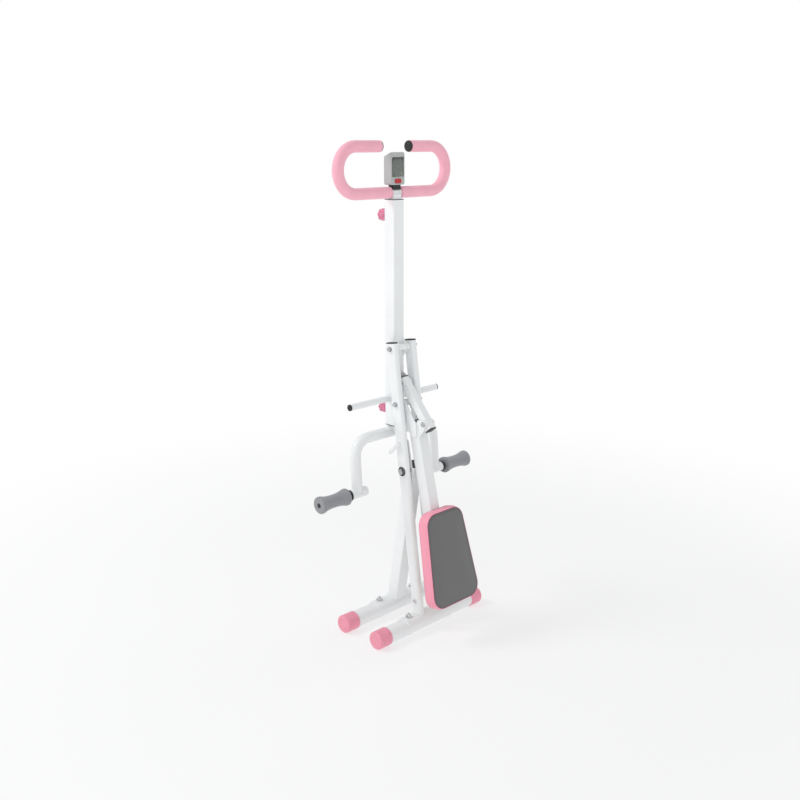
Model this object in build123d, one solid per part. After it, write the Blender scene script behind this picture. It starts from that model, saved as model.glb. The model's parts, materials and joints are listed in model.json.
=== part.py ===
"""Folding squat trainer: handle post, seat arm and link on a scissor frame, standing folded.

Millimetres, +X towards the seat, +Y to the right of a user who faces the handlebar, +Z up.
The origin is on the floor, at the centre of the bounding box. Side-view points are (x, z).
"""
import os
from math import atan2, cos, degrees, hypot, radians, sin

from build123d import *

# ---- feet ----
foot_length = 440.0
foot_tube_radius = 25.0
foot_wall = 2.0
foot_cap_radius = 27.0
foot_cap_length = 46.0
foot_cap_end = 8.0
foot_flat = 0.6
foot_z = foot_cap_radius - foot_flat
rear_foot = (36.5, foot_z)
front_foot = (-104.5, foot_z)
saddle_thickness = 4.0
saddle_half_angle = 60.0
saddle_overhang = 20.0
rear_bolt_y = 84.0
front_bolt_y = 70.0
foot_bolt_radius = 4.0
acorn_radius = 7.5

# ---- tube stock ----
square = 40.0
square_wall = 1.6
square_corner = 3.2
leg_width = 40.0
leg_thickness = 20.0
leg_wall = 1.8
leg_y = 37.0
leg_inside_y = leg_y - leg_thickness / 2
leg_outside_y = leg_y + leg_thickness / 2
arm_square = 38.0
link_square = 25.0
link_corner = 2.4
lip = 3.0
running = 0.05
slip = 0.3

# ---- pivots ----
post_x = -108.5
sleeve_radius = 10.0
post_pivot = (post_x + square / 2 + sleeve_radius, 846.0)
arm_pivot_z = 685.0
frame_pivot_z = 487.0
lock_z = 568.0
arm_link_pivot = (28.5, 636.0)
post_link_pivot = (-62.5, 742.5)
bolt_radius = 5.0
swing_bolt_radius = 4.0
link_bolt_radius = 4.0
head_height = 0.39
link_play = 5.0
leg_top_beyond = 15.5
front_leg_beyond = 12.0

# ---- lock plates and lever ----
lock_plate_thickness = 3.0
lock_screw_radius = 6.0
lock_handle_y = -57.0
lock_handle_length = 38.0

# ---- post and sliding stems ----
post_bottom_z = 608.0
post_top_z = 1266.0
bush_wall = 1.4
bush_lip = 2.0
stem_square = square - 2 * (square_wall + bush_wall + slip)
stem_wall = 1.8
handle_stem_low_z = 960.0
handle_bush_low_z = 1240.0
knob_stud_radius = 4.0
knob_boss_radius = 9.0
knob_boss_length = 5.0
knob_radius = 18.0
knob_length = 26.2
knob_lobes = 7
knob_lobe_radius = 7.0
knob_heights = {"upper": 1222.0, "lower": 653.0}
band_bar_z = 690.0
band_bar_radius = 9.5
band_bar_half = 180.0
band_collar_radius = 11.0
band_collar_half = 24.0

# ---- handlebar ----
bar_radius = 11.0
bar_wall = 1.5
grip_radius = 16.3
loop_radius = 63.0
loop_y = 145.6
lower_bar_z = 1286.0
upper_bar_z = lower_bar_z + 2 * loop_radius
bare_half = 20.0
neck_square = 30.0
upper_end_y = 58.0

# ---- computer ----
computer_half_width = 27.0
computer_depth = 31.0
computer_low_z = 1307.0
computer_high_z = 1396.0
computer_back_drop = 10.0
computer_bracket_half = 14.5
computer_face_x = post_x + 15.5
shell_wall = 2.0
screen_half_width = 23.5
screen_low_z = 1329.0
screen_high_z = 1383.0
button_half_width = 12.5
button_low_z = 1311.5
button_high_z = 1324.0

# ---- pedals ----
pedal_tube_radius = 16.0
pedal_wall = 1.8
pedal_bend = 50.0
pedal_cross_z = 587.0
pedal_arm_y = 162.0
pedal_axle = (post_x + 11.0, 431.0)
pedal_sleeve_radius = 14.5
pedal_sleeve_y = (130.0, 191.0)
axle_radius = 6.0
axle_recess = 12.0
roller_y = (204.0, 308.0)
roller_core_radius = 10.0
roller_end_radius = 25.0
roller_waist_radius = 19.0

# ---- seat ----
arm_lean = 13.16
arm_at_700 = -31.1
arm_top_z = 634.0
arm_bottom_z = 200.0
seat_plate_thickness = 3.0
seat_board_thickness = 9.0
seat_face_offset = 55.0
seat_centre_z = 240.0
seat_length = 286.0
seat_nose_half = 77.0
seat_tail_half = 103.0
seat_corner = 42.0
seat_screw_radius = 3.0

parts = {}


# ------------------------------------------------------------------ helpers
def toward(start, end, distance):
    """Side-view point at a distance from start, on the way to end."""
    length = hypot(end[0] - start[0], end[1] - start[1])
    return (start[0] + (end[0] - start[0]) * distance / length,
            start[1] + (end[1] - start[1]) * distance / length)


def at_height(start, end, z):
    return (start[0] + (end[0] - start[0]) * (z - start[1]) / (end[1] - start[1]), z)


def rod_y(point, radius, y0, y1):
    return Pos(point[0], (y0 + y1) / 2, point[1]) * Rot(90, 0, 0) * Cylinder(radius, abs(y1 - y0))


def rod_x(y, z, radius, x0, x1):
    return Pos((x0 + x1) / 2, y, z) * Rot(0, 90, 0) * Cylinder(radius, abs(x1 - x0))


def rod_z(x, y, radius, z0, z1):
    return Pos(x, y, (z0 + z1) / 2) * Cylinder(radius, abs(z1 - z0))


def ring_y(point, outer, inner, y0, y1):
    return rod_y(point, outer, y0, y1) - rod_y(point, inner, min(y0, y1) - 1, max(y0, y1) + 1)


def block(x0, x1, y0, y1, z0, z1):
    return Pos((x0 + x1) / 2, (y0 + y1) / 2, (z0 + z1) / 2) * Box(x1 - x0, y1 - y0, z1 - z0)


def hex_y(point, across, y0, y1):
    """Hexagon along Y with its corners chamfered at both ends."""
    low, high = min(y0, y1), max(y0, y1)
    section = Plane(origin=(point[0], low, point[1]), x_dir=(1, 0, 0), z_dir=(0, 1, 0))
    prism = extrude(section * RegularPolygon(across / 2, 6, major_radius=False), high - low)
    turned = rod_y(point, 0.575 * across, low, high)
    return prism & chamfer(turned.edges().filter_by(GeomType.CIRCLE), 0.06 * across)


def plate_y(sketch, y0, y1):
    """Flat plate with its outline drawn in the side view."""
    return Pos(0, max(y0, y1), 0) * extrude(Plane.XZ * sketch, abs(y1 - y0), dir=(0, -1, 0))


def disc(point, radius):
    return Pos(point[0], point[1]) * Circle(radius)


def wrap(*discs):
    """Outline of a band stretched around discs given as (point, radius)."""
    edges = []
    for point, radius in discs:
        edges.extend(disc(point, radius).edges())
    return make_hull(edges)


def heading(start, end, y=0.0):
    """Section plane at start facing end: local x is Y, local y lies in the side view."""
    return Plane(origin=(start[0], y, start[1]), x_dir=(0, 1, 0),
                 z_dir=(end[0] - start[0], 0, end[1] - start[1]))


def bar(section, start, end, y=0.0):
    return extrude(heading(start, end, y) * section, hypot(end[0] - start[0], end[1] - start[1]))


def box_bar(size, corner, start, end):
    return bar(RectangleRounded(size, size, corner), start, end)


def box_tube(size, wall, corner, start, end):
    return (box_bar(size, corner, start, end)
            - box_bar(size - 2 * wall, corner - wall / 2, start, end))


def square_plug(size, wall, corner, end, inward):
    """Plastic plug in a square tube's end: a lip outside and a hollow core inside."""
    core_size = size - 2 * wall - 0.1
    head = box_bar(size, corner, end, toward(end, inward, -lip))
    outer_face = head.faces().sort_by(Axis((inward[0], 0, inward[1]),
                                           (end[0] - inward[0], 0, end[1] - inward[1])))[-1]
    head = chamfer(outer_face.edges(), 1.0)
    core = box_bar(core_size, corner, end, toward(end, inward, 14))
    hollow = box_bar(core_size - 5, 1.0, toward(end, inward, 2), toward(end, inward, 15))
    return head + core - hollow


def oval(width, thickness):
    return SlotOverall(width, thickness, rotation=90)


def pivot_bolt(point, radius, across, left, right):
    """Hex bolt along Y with its head on the left and a plain shank to the right."""
    head = hex_y(point, across, left - head_height * across, left)
    return head + rod_y(point, radius, left, right)


def nut_y(point, radius, across, y0, y1):
    return hex_y(point, across, y0, y1) - rod_y(point, radius, y0 - 1, y1 + 1)


def arm_line(z, offset=0.0):
    """Side-view point on the seat arm's centre line, or offset from it towards the seat."""
    lean = radians(arm_lean)
    x = arm_at_700 + (700.0 - z) * sin(lean) / cos(lean)
    return (x + offset * cos(lean), z + offset * sin(lean))


arm_pivot = at_height(rear_foot, post_pivot, arm_pivot_z)
frame_pivot = at_height(rear_foot, post_pivot, frame_pivot_z)
lock_point = at_height(rear_foot, post_pivot, lock_z)
leg_top = toward(post_pivot, rear_foot, -leg_top_beyond)
front_leg_top = toward(frame_pivot, front_foot, -front_leg_beyond)
post_front_x = post_x - square / 2
post_rear_x = post_x + square / 2


# ------------------------------------------------------------------ feet
def foot(name, point, bolt_y):
    """Foot tube, its two end caps, the saddle plate on top and the saddle's fasteners."""
    tube_half = foot_length / 2 - foot_cap_end
    tube = ring_y(point, foot_tube_radius, foot_tube_radius - foot_wall, -tube_half, tube_half)
    saddle_half = bolt_y + saddle_overhang
    saddle_radius = foot_tube_radius + saddle_thickness
    ring = ring_y(point, saddle_radius, foot_tube_radius, -saddle_half, saddle_half)
    reach = 2 * saddle_radius
    side = reach * sin(radians(saddle_half_angle))
    top = reach * cos(radians(saddle_half_angle))
    wedge = Polygon((point[0], point[1]), (point[0] - side, point[1] + top),
                    (point[0] - side, point[1] + reach), (point[0] + side, point[1] + reach),
                    (point[0] + side, point[1] + top), align=None)
    saddle = ring & plate_y(wedge, -saddle_half, saddle_half)
    bolts = Part()
    saddle_top = point[1] + saddle_radius
    for y in (-bolt_y, bolt_y):
        hole = rod_z(point[0], y, foot_bolt_radius + 0.2, point[1], saddle_top + 1)
        access = rod_z(point[0], y, 9.0, 0, point[1])
        tube = tube - hole - access
        saddle = saddle - hole
        inner_top = point[1] + foot_tube_radius - foot_wall
        bolts += (rod_z(point[0], y, 8.0, inner_top - 5.5, inner_top - 1.5)
                  + rod_z(point[0], y, foot_bolt_radius, inner_top - 2, saddle_top + 9))
        bolts += acorn(point[0], y, saddle_top)
    parts[f"{name}_foot_tube"] = tube
    parts[f"{name}_foot_caps"] = foot_cap(point, -1) + foot_cap(point, 1)
    parts[f"{name}_foot_bolts"] = bolts
    return saddle


def acorn(x, y, z):
    """Washer and domed nut standing on the saddle."""
    washer = rod_z(x, y, 9.5, z + 0.3, z + 1.8)
    flats = Pos(x, y, z + 1.8) * extrude(RegularPolygon(6.5, 6, major_radius=False), 5.0)
    dome = Pos(x, y, z + 6.8) * Sphere(5.8)
    stack = washer + flats + dome
    return stack - rod_z(x, y, foot_bolt_radius, z - 1, z + 9)


def foot_cap(point, sign):
    """Rubber end cap with rounded rims and a narrow flat to stand on."""
    outer_y = sign * foot_length / 2
    inner_y = outer_y - sign * foot_cap_length
    shell = rod_y(point, foot_cap_radius, inner_y, outer_y)
    ends = shell.edges().filter_by(GeomType.CIRCLE).group_by(Axis.Y)
    shell = fillet(ends[-1] if sign > 0 else ends[0], 5.0)
    ends = shell.edges().filter_by(GeomType.CIRCLE).group_by(Axis.Y)
    shell = fillet(ends[0] if sign > 0 else ends[-1], 1.5)
    bore = rod_y(point, foot_tube_radius, inner_y - sign, outer_y - sign * foot_cap_end)
    floor = block(point[0] - 60, point[0] + 60, -foot_length, foot_length, -20, 0)
    return shell - bore - floor


# ------------------------------------------------------------------ rear frame
def rear_frame():
    saddle = foot("rear", rear_foot, rear_bolt_y)
    saddle_cut = rod_y(rear_foot, foot_tube_radius + saddle_thickness, -220, 220)
    solid = oval(leg_width, leg_thickness)
    inner = oval(leg_width - 2 * leg_wall, leg_thickness - 2 * leg_wall)
    foot_screw = at_height(rear_foot, post_pivot, 90.0)
    screws, plugs = Part(), Part()
    for side, sign in (("left", -1), ("right", 1)):
        y = sign * leg_y
        leg = bar(solid, rear_foot, leg_top, y) - bar(inner, rear_foot, leg_top, y) - saddle_cut
        for point, radius in ((post_pivot, swing_bolt_radius), (arm_pivot, swing_bolt_radius),
                              (frame_pivot, bolt_radius)):
            leg -= rod_y(point, radius + running, y - 20, y + 20)
        if sign < 0:
            leg -= rod_y(lock_point, lock_screw_radius + running, y - 20, y + 20)
        outer = sign * leg_outside_y
        leg -= rod_y(foot_screw, 3.0, outer - sign * 3, outer + sign * 3)
        parts[f"rear_leg_{side}"] = leg
        plugs += oval_plug(y)
        screws += hex_y(foot_screw, 10.0, outer + sign * 0.1, outer + sign * 4.5)
        screws += rod_y(foot_screw, 3.0, outer - sign * leg_wall, outer + sign)
    parts["rear_saddle"] = saddle
    parts["rear_leg_plugs"] = plugs
    parts["rear_leg_screws"] = screws
    pivot_fasteners()


def oval_plug(y):
    plug = bar(oval(leg_width, leg_thickness), toward(leg_top, rear_foot, -lip), leg_top, y)
    core = bar(oval(leg_width - 2 * leg_wall - 0.1, leg_thickness - 2 * leg_wall - 0.1),
               leg_top, toward(leg_top, rear_foot, 12), y)
    return plug + core - rod_y(post_pivot, 9.0, y - 20, y + 20)


def pivot_fasteners():
    """Bolts through both legs at the three pivots, each with two washers and a lock nut."""
    outer = leg_outside_y + 0.1
    washer = 2.0
    bolts, nuts = Part(), Part()
    for point, radius, across, washer_radius in ((post_pivot, swing_bolt_radius, 12.0, 7.5),
                                                 (arm_pivot, swing_bolt_radius, 12.0, 7.5),
                                                 (frame_pivot, bolt_radius, 16.0, 14.0)):
        bolts += pivot_bolt(point, radius, across, -outer - washer, outer + 13)
        nuts += nut_y(point, radius, across, outer + washer + 0.1, outer + washer + 8)
        for low, high in ((-outer - washer + 0.1, -outer), (outer, outer + washer)):
            nuts += ring_y(point, washer_radius, radius + running, low, high)
    parts["pivot_bolts"] = bolts
    parts["pivot_nuts"] = nuts


# ------------------------------------------------------------------ front frame
def front_frame():
    saddle = foot("front", front_foot, front_bolt_y)
    saddle_cut = rod_y(front_foot, foot_tube_radius + saddle_thickness, -200, 200)
    leg = box_tube(square, square_wall, square_corner, front_foot, front_leg_top) - saddle_cut
    bush_outer = 8.0
    leg -= rod_y(frame_pivot, bush_outer, -60, 60)
    parts["front_saddle"] = saddle
    parts["front_leg"] = leg
    parts["front_leg_plug"] = (square_plug(square, square_wall, square_corner, front_leg_top,
                                           front_foot)
                               - rod_y(frame_pivot, 10.5, -60, 60))
    parts["frame_pivot_bushes"] = frame_bush(-1, bush_outer) + frame_bush(1, bush_outer)
    face = square / 2
    outline = wrap((frame_pivot, 18.0), (lock_point, 13.0))
    outline -= disc(frame_pivot, bush_outer)
    parts["lock_plates"] = (plate_y(outline, -face - lock_plate_thickness, -face)
                            + plate_y(outline, face, face + lock_plate_thickness))


def frame_bush(sign, outer_radius):
    """Flanged bush pressed into one side of the front leg, its flange against the rear leg."""
    flange_y = sign * (square / 2 + lock_plate_thickness)
    bush = ring_y(frame_pivot, outer_radius, bolt_radius + running, sign * 1.0, flange_y)
    return bush + ring_y(frame_pivot, 13.0, bolt_radius + running, flange_y,
                         sign * (leg_inside_y - 0.5))


def lock_lever():
    """Clamp screw through the left leg, bent into a handle: its tip presses on a lock plate."""
    tip_y = -square / 2 - lock_plate_thickness - slip
    reach = lock_handle_length / hypot(1, 1)
    end = (lock_point[0] - reach, lock_handle_y, lock_point[1] - reach)
    path = FilletPolyline((lock_point[0], tip_y, lock_point[1]),
                          (lock_point[0], lock_handle_y, lock_point[1]), end, radius=7.0)
    start = Plane(origin=(lock_point[0], tip_y, lock_point[1]), x_dir=(1, 0, 0),
                  z_dir=(0, -1, 0))
    screw = sweep(start * Circle(lock_screw_radius), path=path)
    parts["lock_lever"] = screw + Pos(*end) * Sphere(lock_screw_radius)


# ------------------------------------------------------------------ handle post
def post():
    bottom, top = (post_x, post_bottom_z), (post_x, post_top_z)
    tube = box_tube(square, square_wall, square_corner, bottom, top)
    tube -= rod_y((post_x, band_bar_z), band_collar_radius, -40, 40)
    for z in knob_heights.values():
        tube += rod_x(0, z, knob_boss_radius, post_front_x - knob_boss_length,
                      post_front_x + square_wall)
        tube -= rod_x(0, z, knob_stud_radius + running, post_front_x - 30, post_x)
    parts["handle_post"] = tube
    parts["post_bushes"] = (stem_bush(post_top_z, handle_bush_low_z)
                            + stem_bush(post_bottom_z, post_bottom_z + 20))
    sleeve = ring_y(post_pivot, sleeve_radius, swing_bolt_radius + running,
                    -leg_inside_y + 0.5, leg_inside_y - 0.5)
    outline = block(post_x - square / 2, post_rear_x, -60, 60, 500, 1300)
    for y0 in (-17.0, 13.0):
        gusset = wrap((post_pivot, sleeve_radius + 2), ((post_rear_x - 6, post_pivot[1] + 22), 5),
                      ((post_rear_x - 6, post_pivot[1] - 30), 5))
        sleeve += plate_y(gusset, y0, y0 + 4) - outline - rod_y(post_pivot, 9.0, -60, 60)
    parts["post_pivot_sleeve"] = sleeve
    parts["post_link_ears"] = ears(post_link_pivot, link_bolt_radius,
                                   [((post_rear_x - 8, post_link_pivot[1] + 24), 6),
                                    ((post_rear_x - 8, post_link_pivot[1] - 24), 6)]) - outline
    link_fasteners("post_link", post_link_pivot)
    centre = (post_x, band_bar_z)
    bar_tube = rod_y(centre, band_bar_radius, -band_bar_half + 4, band_bar_half - 4)
    bar_tube += rod_y(centre, band_collar_radius, -band_collar_half, band_collar_half)
    parts["band_bar"] = bar_tube - rod_y(centre, band_bar_radius - 1.5, -band_bar_half, band_bar_half)
    parts["band_bar_caps"] = band_bar_cap(-1) + band_bar_cap(1)


def stem_bush(mouth_z, far_z):
    """Plastic guide in the post's end, with a lip over the tube's edge."""
    inner = square - 2 * square_wall - 0.05
    bore = inner - 2 * bush_wall
    sign = 1 if mouth_z > far_z else -1
    bush = (box_bar(inner, square_corner, (post_x, far_z), (post_x, mouth_z))
            + box_bar(square, square_corner, (post_x, mouth_z), (post_x, mouth_z + sign * bush_lip)))
    bush -= box_bar(bore, 1.0, (post_x, min(mouth_z, far_z) - 5), (post_x, max(mouth_z, far_z) + 5))
    return bush


def ears(point, hole_radius, roots):
    """Two parallel plates either side of the link's end."""
    inside = link_square / 2 + 0.7
    shape = wrap((point, 12.0), *roots) - disc(point, hole_radius)
    return plate_y(shape, -inside - 3.5, -inside) + plate_y(shape, inside, inside + 3.5)


def link_fasteners(name, point):
    outer = link_square / 2 + 0.7 + 3.5 + 0.1
    parts[f"{name}_bolt"] = (pivot_bolt(point, link_bolt_radius, 13.0, -outer, outer + 7)
                             + nut_y(point, link_bolt_radius, 13.0, outer, outer + 6))


def band_bar_cap(sign):
    """Plastic cap in one end of the band bar."""
    point = (post_x, band_bar_z)
    inner_y = sign * (band_bar_half - 4)
    cap = rod_y(point, band_bar_radius, inner_y, sign * band_bar_half)
    rims = cap.edges().filter_by(GeomType.CIRCLE).group_by(Axis.Y)
    cap = fillet(rims[-1] if sign > 0 else rims[0], 1.6)
    return cap + rod_y(point, band_bar_radius - 1.55, inner_y - sign * 12, inner_y + sign * 0.5)


def knob(name, z):
    """Lobed clamp knob moulded on its stud, which bears on the stem inside the post."""
    hub_x = post_front_x - knob_boss_length - 1.0
    face_x = hub_x - knob_length
    section = Plane(origin=(hub_x, 0, z), x_dir=(0, 1, 0), z_dir=(-1, 0, 0))
    lobe_reach = knob_radius - knob_lobe_radius
    shape = Circle(lobe_reach + 1.5)
    for index in range(knob_lobes):
        turn = radians(360 / knob_lobes * index + 30)
        shape += Pos(lobe_reach * cos(turn), lobe_reach * sin(turn)) * Circle(knob_lobe_radius)
    body = extrude(section * shape, hub_x - face_x)
    body = fillet(body.faces().sort_by(Axis.X)[0].edges(), 2.5)
    body = fillet(body.faces().sort_by(Axis.X)[-1].edges(), 1.5)
    dish = Pos(face_x - 60, 0, z) * Sphere(62.0)
    stem_face = post_x - stem_square / 2
    stud = rod_x(0, z, knob_stud_radius, face_x + 6, stem_face - 0.1)
    parts[f"{name}_knob"] = body - dish + stud


# ------------------------------------------------------------------ handlebar
def handlebar():
    shoulder_z = lower_bar_z - grip_radius - 1
    stem = box_tube(stem_square, stem_wall, 2.4, (post_x, handle_stem_low_z),
                    (post_x, shoulder_z))
    neck = box_bar(neck_square, 2.4, (post_x, shoulder_z - 4), (post_x, lower_bar_z - 4))
    weld = rod_y((post_x, lower_bar_z), bar_radius, -40, 40)
    parts["handlebar_stem"] = stem + neck - weld
    tube_end = upper_end_y + 2
    outer = sweep(section_at_start(bar_radius, tube_end), path=loop_path(tube_end))
    inner = sweep(section_at_start(bar_radius - bar_wall, tube_end), path=loop_path(tube_end))
    parts["handlebar_tube"] = outer - inner
    for side, sign in (("left", -1), ("right", 1)):
        parts[f"grip_{side}"] = grip(sign)
    parts["grip_plugs"] = grip_plug(-1) + grip_plug(1)


def loop_path(end_y):
    """Handlebar centre line: upper right end, right loop, lower bar, left loop, upper left end."""
    middle_z = (lower_bar_z + upper_bar_z) / 2
    right = ThreePointArc((post_x, loop_y, upper_bar_z), (post_x, loop_y + loop_radius, middle_z),
                          (post_x, loop_y, lower_bar_z))
    left = ThreePointArc((post_x, -loop_y, lower_bar_z), (post_x, -loop_y - loop_radius, middle_z),
                         (post_x, -loop_y, upper_bar_z))
    return Wire([Line((post_x, end_y, upper_bar_z), (post_x, loop_y, upper_bar_z)), right,
                 Line((post_x, loop_y, lower_bar_z), (post_x, -loop_y, lower_bar_z)), left,
                 Line((post_x, -loop_y, upper_bar_z), (post_x, -end_y, upper_bar_z))])


def section_at_start(radius, end_y):
    return Plane(origin=(post_x, end_y, upper_bar_z), x_dir=(1, 0, 0), z_dir=(0, 1, 0)) \
        * Circle(radius)


def grip(sign):
    """Foam sleeve over one loop of the handlebar."""
    middle_z = (lower_bar_z + upper_bar_z) / 2
    arc = ThreePointArc((post_x, sign * loop_y, upper_bar_z),
                        (post_x, sign * (loop_y + loop_radius), middle_z),
                        (post_x, sign * loop_y, lower_bar_z))
    path = Wire([Line((post_x, sign * upper_end_y, upper_bar_z),
                      (post_x, sign * loop_y, upper_bar_z)), arc,
                 Line((post_x, sign * loop_y, lower_bar_z),
                      (post_x, sign * bare_half, lower_bar_z))])
    start = Plane(origin=(post_x, sign * upper_end_y, upper_bar_z), x_dir=(1, 0, 0),
                  z_dir=(0, sign, 0))
    return sweep(start * Circle(grip_radius), path=path) - sweep(start * Circle(bar_radius), path=path)


def grip_plug(sign):
    """Cap over the inner end of an upper bar."""
    point = (post_x, upper_bar_z)
    face = sign * upper_end_y
    cap = rod_y(point, grip_radius - 0.6, face - sign * 4, face)
    rims = cap.edges().filter_by(GeomType.CIRCLE).group_by(Axis.Y)
    cap = fillet(rims[0] if sign > 0 else rims[-1], 2.0)
    core = rod_y(point, bar_radius - bar_wall - 0.05, face - sign, face + sign * 16)
    return cap + core


# ------------------------------------------------------------------ computer
def computer_body(inset, corner):
    """Case with a top that falls towards the back, drawn in by inset on every side."""
    back_x = computer_face_x - computer_depth + inset
    face_x = computer_face_x - inset
    low, high = computer_low_z + inset, computer_high_z - inset
    profile = Polygon((back_x, low), (face_x, low), (face_x, high), (face_x - 6, high),
                      (back_x, high - computer_back_drop), align=None)
    half = computer_half_width - inset
    body = plate_y(profile, -half, half)
    rims = body.faces().sort_by(Axis.Y)[0].edges() + body.faces().sort_by(Axis.Y)[-1].edges()
    return fillet([edge for edge in rims if abs(edge.tangent_at(0.5).X) > 0.5], corner)


def computer():
    back_x = computer_face_x - computer_depth
    split_x = computer_face_x - 11.0
    low, high = computer_low_z, computer_high_z
    whole = computer_body(0.0, 6.0)
    whole = fillet(whole.faces().sort_by(Axis.X)[-1].edges(), 2.5)
    whole = fillet(whole.faces().sort_by(Axis.X)[0].edges(), 4.0)
    inner = computer_body(shell_wall, 4.0)
    shell = whole - inner
    front = shell & block(split_x, computer_face_x + 5, -60, 60, low - 5, high + 5)
    back = shell & block(back_x - 5, split_x - 0.1, -60, 60, low - 5, high + 5)
    window = block(computer_face_x - 8, computer_face_x + 5, -screen_half_width, screen_half_width,
                   screen_low_z, screen_high_z)
    front -= fillet(window.edges().filter_by(Axis.X), 2.5)
    button_hole = block(computer_face_x - 8, computer_face_x + 5, -button_half_width - 0.4,
                        button_half_width + 0.4, button_low_z - 0.4, button_high_z + 0.4)
    front -= fillet(button_hole.edges().filter_by(Axis.X), 5.0)
    hatch = block(back_x - 5, back_x + 5, -17, 17, low + 14, high - 26)
    back -= hatch
    parts["computer_front"] = front
    parts["computer_back"] = back
    parts["battery_cover"] = block(back_x, back_x + 1.8, -16.8, 16.8, low + 14.2, high - 26.2)
    lens = block(computer_face_x - 1.6, computer_face_x - 0.2, -screen_half_width + 0.1,
                 screen_half_width - 0.1, screen_low_z + 0.1, screen_high_z - 0.1)
    parts["computer_lens"] = fillet(lens.edges().filter_by(Axis.X), 2.4)
    parts["computer_screen"] = block(computer_face_x - 6.5, computer_face_x - 3.5, -21, 21,
                                     screen_low_z + 2, screen_high_z - 2)
    parts["computer_board"] = block(computer_face_x - 9.5, computer_face_x - 7.9, -22, 22,
                                    low + 4, high - 6)
    cells = Part()
    for y in (-8.0, 8.0):
        cells += rod_z(back_x + 8.2, y, 5.25, low + 16, low + 53)
    parts["battery_cells"] = cells
    button = block(computer_face_x - 4.5, computer_face_x + 1.8, -button_half_width,
                   button_half_width, button_low_z, button_high_z)
    button = fillet(button.edges().filter_by(Axis.X), 5.0)
    parts["computer_button"] = fillet(button.faces().sort_by(Axis.X)[-1].edges(), 1.2)
    parts["computer_bracket"] = computer_bracket(back_x)


def computer_bracket(back_x):
    """Plastic block between the lower bar and the computer's underside."""
    half = computer_bracket_half
    foot = block(back_x + 6, computer_face_x - 3, -half, half, lower_bar_z + bar_radius - 3,
                 computer_low_z - 0.1)
    foot = fillet(foot.edges().filter_by(Axis.Z), 2.5)
    return foot - rod_y((post_x, lower_bar_z), bar_radius, -60, 60)


# ------------------------------------------------------------------ pedals
def tilt_pedals(shape):
    """Lean the pedal frame about its cross tube so that its axles come to pedal_axle."""
    lean = degrees(atan2(pedal_axle[0] - post_x, pedal_cross_z - pedal_axle[1]))
    return (Pos(post_x, 0, pedal_cross_z) * Rot(0, -lean, 0) * Pos(-post_x, 0, -pedal_cross_z)) * shape


def pedals():
    drop = hypot(pedal_axle[0] - post_x, pedal_cross_z - pedal_axle[1])
    arm_end_z = pedal_cross_z - drop
    ends = rod_y(pedal_axle, pedal_sleeve_radius, -200, 200)
    path = FilletPolyline((post_x, -pedal_arm_y, arm_end_z), (post_x, -pedal_arm_y, pedal_cross_z),
                          (post_x, pedal_arm_y, pedal_cross_z), (post_x, pedal_arm_y, arm_end_z),
                          radius=pedal_bend)
    start = Plane(origin=(post_x, -pedal_arm_y, arm_end_z), x_dir=(1, 0, 0), z_dir=(0, 0, 1))
    outer = sweep(start * Circle(pedal_tube_radius), path=path)
    inner = sweep(start * Circle(pedal_tube_radius - pedal_wall), path=path)
    frame = tilt_pedals(outer - inner) - ends
    axles = Part()
    for side, sign in (("left", -1), ("right", 1)):
        inner_y, outer_y = (sign * value for value in pedal_sleeve_y)
        frame += ring_y(pedal_axle, pedal_sleeve_radius, axle_radius, inner_y, outer_y)
        frame -= rod_y(pedal_axle, pedal_sleeve_radius - 2.5, inner_y - sign,
                       inner_y + sign * axle_recess)
        axles += pedal_axle_bolt(sign)
        roller(side, sign)
    parts["pedal_tube"] = frame
    parts["pedal_axles"] = axles
    stem_top = band_bar_z - band_bar_radius - 4
    cross = rod_y((post_x, pedal_cross_z), pedal_tube_radius, -60, 60)
    parts["pedal_stem"] = box_tube(stem_square, stem_wall, 2.4, (post_x, pedal_cross_z + 4),
                                   (post_x, stem_top)) - cross


def pedal_axle_bolt(sign):
    """Axle through the sleeve: a nut in the sleeve's recess, a flange and a hidden end washer."""
    inner_y, outer_y = (sign * value for value in pedal_sleeve_y)
    tip_y = sign * roller_y[1]
    seat_y = inner_y + sign * axle_recess
    axle = rod_y(pedal_axle, axle_radius, seat_y - sign * 9, tip_y + sign * 1.5)
    axle += hex_y(pedal_axle, 17.0, seat_y - sign * 7, seat_y)
    axle += rod_y(pedal_axle, 16.5, outer_y, outer_y + sign * 5)
    return axle + rod_y(pedal_axle, roller_core_radius - 1, tip_y - sign * 6, tip_y - sign * 4)


def roller(side, sign):
    """Plastic core that turns on the axle, and the foam on it."""
    inner_y, outer_y = (sign * value for value in roller_y)
    parts[f"roller_core_{side}"] = ring_y(pedal_axle, roller_core_radius, axle_radius + 0.08,
                                          inner_y - sign * 7, outer_y - sign * 6.3)
    parts[f"roller_foam_{side}"] = roller_foam(sign)


def roller_foam(sign):
    """Waisted foam roller, turned about its axle and closed down to the axle at its outer end."""
    start, end = roller_y
    middle = (start + end) / 2
    rim = roller_end_radius
    bore, mouth = roller_core_radius + 0.05, axle_radius + 0.5
    profile = Polyline((start, bore), (start, rim - 2), (start + 2, rim), (start + 9, rim)) \
        + Spline((start + 9, rim), (middle, roller_waist_radius), (end - 9, rim),
                 tangents=((1, -0.35), (1, 0.35))) \
        + Polyline((end - 9, rim), (end - 2, rim), (end, rim - 2),
                   (end, mouth), (end - 3, mouth), (end - 3, bore), (start, bore))
    face = make_face(profile.edges())
    turned = revolve(face, Axis.X)
    return Pos(pedal_axle[0], 0, pedal_axle[1]) * Rot(0, 0, 90 * sign) * turned


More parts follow.
